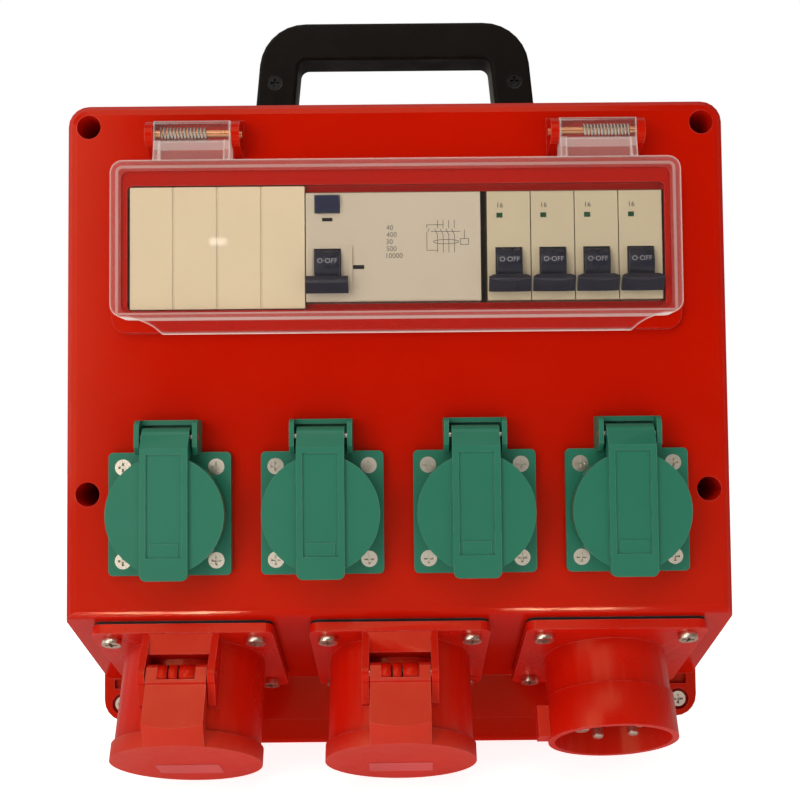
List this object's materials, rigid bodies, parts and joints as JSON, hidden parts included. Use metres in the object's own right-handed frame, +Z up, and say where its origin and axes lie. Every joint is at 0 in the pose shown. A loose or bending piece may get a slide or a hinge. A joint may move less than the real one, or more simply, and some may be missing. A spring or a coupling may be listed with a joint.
{
  "type": "portable power distribution box",
  "caption": "Portable red power distribution box with sprung household sockets, slanted industrial sockets and inlet, breakers under a clear window and a carry handle",
  "frame": {"origin": "on the floor, under the middle of the outer box", "axes": "+X to the right seen from the front, +Y from the front to the back, +Z up"},
  "size_m": [0.2822, 0.152, 0.3605],
  "materials": {
    "cover_red": "glossy moulded plastic",
    "socket_red": "satin moulded plastic",
    "socket_green": "satin moulded plastic",
    "ivory": "matt moulded plastic",
    "breaker": "matt moulded plastic",
    "handle_black": "grained moulded plastic",
    "core_grey": "matt moulded plastic",
    "toggle_navy": "satin moulded plastic",
    "button_blue": "satin moulded plastic",
    "clear": "clear moulded polycarbonate",
    "seal_red": "matt sealing rubber",
    "rubber": "matt sealing rubber",
    "nickel": "nickel-plated steel",
    "steel": "bright steel",
    "copper": "coppered steel",
    "brass": "bare brass"
  },
  "bodies": {
    "housing": {"rear_shell": "cover_red", "front_cover": "cover_red", "cover_gasket": "rubber", "cover_screws": "nickel", "carry_handle": "handle_black", "handle_screws": "nickel", "window_gasket": "seal_red", "window_hinge_pins": "copper", "window_hinge_springs": "steel", "din_rail": "steel", "din_rail_screws": "nickel", "blanking_strip": "ivory", "rcd_body": "breaker", "mcb_body_1": "breaker", "mcb_body_2": "breaker", "mcb_body_3": "breaker", "mcb_body_4": "breaker", "busbar_comb": "copper", "neutral_bar": "brass", "earth_bar": "brass", "schuko_body_1": "socket_green", "schuko_body_2": "socket_green", "schuko_body_3": "socket_green", "schuko_body_4": "socket_green", "schuko_gaskets": "rubber", "schuko_screws": "nickel", "schuko_hinge_pins": "steel", "schuko_contacts": "brass", "cee_socket_body_1": "socket_red", "cee_socket_body_2": "socket_red", "cee_socket_cores": "core_grey", "cee_contacts": "brass", "cee_hinge_pins": "steel", "cee_lid_springs": "steel", "cee_gaskets": "rubber", "cee_flange_screws": "nickel", "inlet_body": "socket_red", "inlet_core": "socket_red", "inlet_pins": "nickel"},
    "window_lid": {"window_lid": "clear"},
    "schuko_lid_1": {"schuko_lid_1": "socket_green"},
    "schuko_lid_2": {"schuko_lid_2": "socket_green"},
    "schuko_lid_3": {"schuko_lid_3": "socket_green"},
    "schuko_lid_4": {"schuko_lid_4": "socket_green"},
    "cee_lid_1": {"cee_lid_1": "socket_red"},
    "cee_lid_2": {"cee_lid_2": "socket_red"},
    "rcd_toggle": {"rcd_toggle": "toggle_navy"},
    "mcb_toggle_1": {"mcb_toggle_1": "toggle_navy"},
    "mcb_toggle_2": {"mcb_toggle_2": "toggle_navy"},
    "mcb_toggle_3": {"mcb_toggle_3": "toggle_navy"},
    "mcb_toggle_4": {"mcb_toggle_4": "toggle_navy"},
    "rcd_test_button": {"rcd_test_button": "button_blue"}
  },
  "joints": [
    {"name": "window_lid_turn", "type": "hinge", "parent": "housing", "child": "window_lid", "pos_m": [0, -0.06701, 0.27565], "axis": [-1, 0, 0], "range_deg": [0, 110], "stiffness_Nm_per_rad": 0.02, "springref_deg": -68.75},
    {"name": "schuko_lid_1_turn", "type": "hinge", "parent": "housing", "child": "schuko_lid_1", "pos_m": [-0.0933, -0.06801, 0.1519], "axis": [-1, 0, 0], "range_deg": [0, 110], "stiffness_Nm_per_rad": 0.01, "springref_deg": -68.75},
    {"name": "schuko_lid_2_turn", "type": "hinge", "parent": "housing", "child": "schuko_lid_2", "pos_m": [-0.0311, -0.06801, 0.1519], "axis": [-1, 0, 0], "range_deg": [0, 110], "stiffness_Nm_per_rad": 0.01, "springref_deg": -68.75},
    {"name": "schuko_lid_3_turn", "type": "hinge", "parent": "housing", "child": "schuko_lid_3", "pos_m": [0.0311, -0.06801, 0.1519], "axis": [-1, 0, 0], "range_deg": [0, 110], "stiffness_Nm_per_rad": 0.01, "springref_deg": -68.75},
    {"name": "schuko_lid_4_turn", "type": "hinge", "parent": "housing", "child": "schuko_lid_4", "pos_m": [0.0933, -0.06801, 0.1519], "axis": [-1, 0, 0], "range_deg": [0, 110], "stiffness_Nm_per_rad": 0.01, "springref_deg": -68.75},
    {"name": "cee_lid_1_turn", "type": "hinge", "parent": "housing", "child": "cee_lid_1", "pos_m": [-0.09, -0.06344, 0.05593], "axis": [-1, 0, 0], "range_deg": [0, 110], "stiffness_Nm_per_rad": 0.02, "springref_deg": -68.75},
    {"name": "cee_lid_2_turn", "type": "hinge", "parent": "housing", "child": "cee_lid_2", "pos_m": [0, -0.06344, 0.05593], "axis": [-1, 0, 0], "range_deg": [0, 110], "stiffness_Nm_per_rad": 0.02, "springref_deg": -68.75},
    {"name": "rcd_toggle_turn", "type": "hinge", "parent": "housing", "child": "rcd_toggle", "pos_m": [-0.0282, -0.05601, 0.2213], "axis": [-1, 0, 0], "range_deg": [0, 84]},
    {"name": "mcb_toggle_1_turn", "type": "hinge", "parent": "housing", "child": "mcb_toggle_1", "pos_m": [0.0462, -0.05601, 0.2213], "axis": [-1, 0, 0], "range_deg": [0, 84]},
    {"name": "mcb_toggle_2_turn", "type": "hinge", "parent": "housing", "child": "mcb_toggle_2", "pos_m": [0.0642, -0.05601, 0.2213], "axis": [-1, 0, 0], "range_deg": [0, 84]},
    {"name": "mcb_toggle_3_turn", "type": "hinge", "parent": "housing", "child": "mcb_toggle_3", "pos_m": [0.0822, -0.05601, 0.2213], "axis": [-1, 0, 0], "range_deg": [0, 84]},
    {"name": "mcb_toggle_4_turn", "type": "hinge", "parent": "housing", "child": "mcb_toggle_4", "pos_m": [0.1002, -0.05601, 0.2213], "axis": [-1, 0, 0], "range_deg": [0, 84]},
    {"name": "rcd_test_button_push", "type": "slide", "parent": "housing", "child": "rcd_test_button", "axis": [0, 1, 0], "range_m": [0, 0.002], "stiffness_N_per_m": 400, "springref_m": -0.001}
  ]
}
